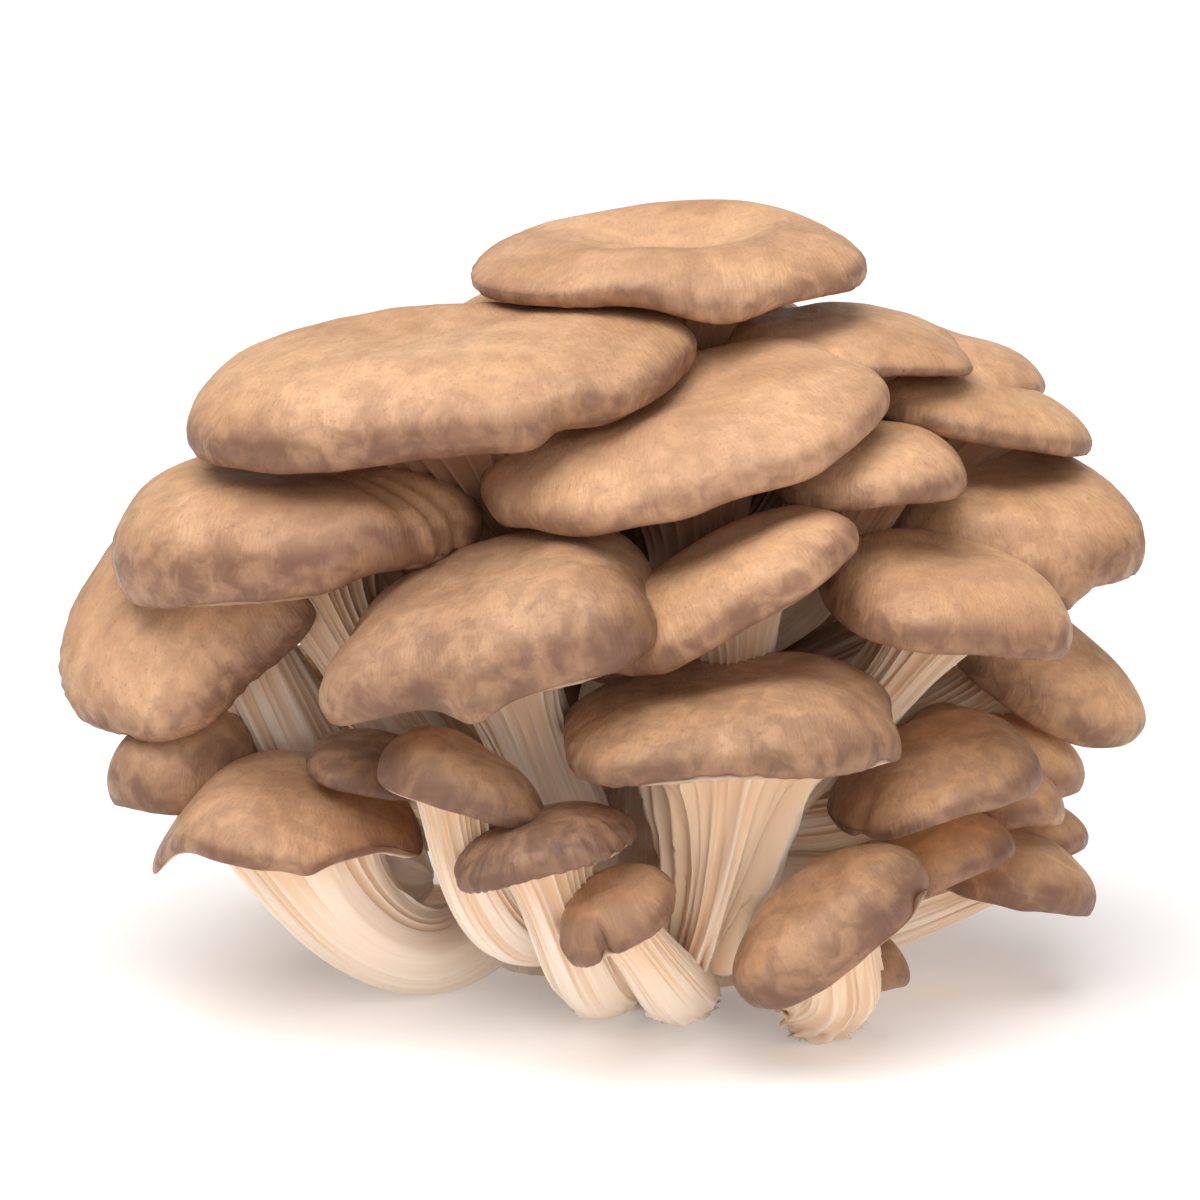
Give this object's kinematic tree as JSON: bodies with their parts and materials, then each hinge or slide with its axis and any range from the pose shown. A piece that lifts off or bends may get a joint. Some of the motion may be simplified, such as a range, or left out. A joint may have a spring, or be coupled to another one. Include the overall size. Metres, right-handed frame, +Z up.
{
  "type": "oyster mushroom cluster",
  "caption": "Cluster of oyster mushrooms: overlapping fan-shaped caps in tiers on short gilled stems that fuse into one torn foot with a flat underside.",
  "frame": {"origin": "on the flat underside of the fused foot, below the middle of the cluster", "axes": "+Z up, away from the surface it rests on; -Y towards the front, where the low caps and the bare stems show; +X to the right, along the longest extent"},
  "size_m": [0.193, 0.1628, 0.1372],
  "materials": {
    "cap_skin": "dry satin skin, mottled tan to brown, paler on the crowns, with pale gills and stem flesh below",
    "stem_flesh": "matt cream fibrous flesh"
  },
  "bodies": {
    "root": {"fused_foot": "stem_flesh", "crown": "cap_skin", "upper_left_shelf": "cap_skin", "upper_centre_shelf": "cap_skin", "left_shelf": "cap_skin", "left_drooping": "cap_skin", "centre_left_shelf": "cap_skin", "centre_slanting": "cap_skin", "centre_low_shelf": "cap_skin", "right_upper_back": "cap_skin", "right_back_tip": "cap_skin", "right_upper_shelf": "cap_skin", "right_inner": "cap_skin", "right_shelf": "cap_skin", "right_centre_shelf": "cap_skin", "right_drooping": "cap_skin", "low_right_upper": "cap_skin", "low_right_outer": "cap_skin", "low_right_bud": "cap_skin", "low_right_slanting": "cap_skin", "low_right_front": "cap_skin", "low_right_behind": "cap_skin", "bottom_right": "cap_skin", "bottom_right_bud": "cap_skin", "bottom_centre_bud": "cap_skin", "bottom_centre_dark": "cap_skin", "low_left_slanting": "cap_skin", "low_left_dark": "cap_skin", "low_left_outer": "cap_skin", "low_left_front": "cap_skin", "low_left_tiny": "cap_skin", "back_crown": "cap_skin", "back_left_high": "cap_skin", "back_right_high": "cap_skin", "rear_left_shelf": "cap_skin", "rear_right_shelf": "cap_skin", "left_rear_shelf": "cap_skin", "right_rear_shelf": "cap_skin", "rear_low_left": "cap_skin", "rear_low_middle": "cap_skin", "rear_low_right": "cap_skin", "left_rear_low": "cap_skin", "right_rear_low": "cap_skin"}
  },
  "joints": []
}
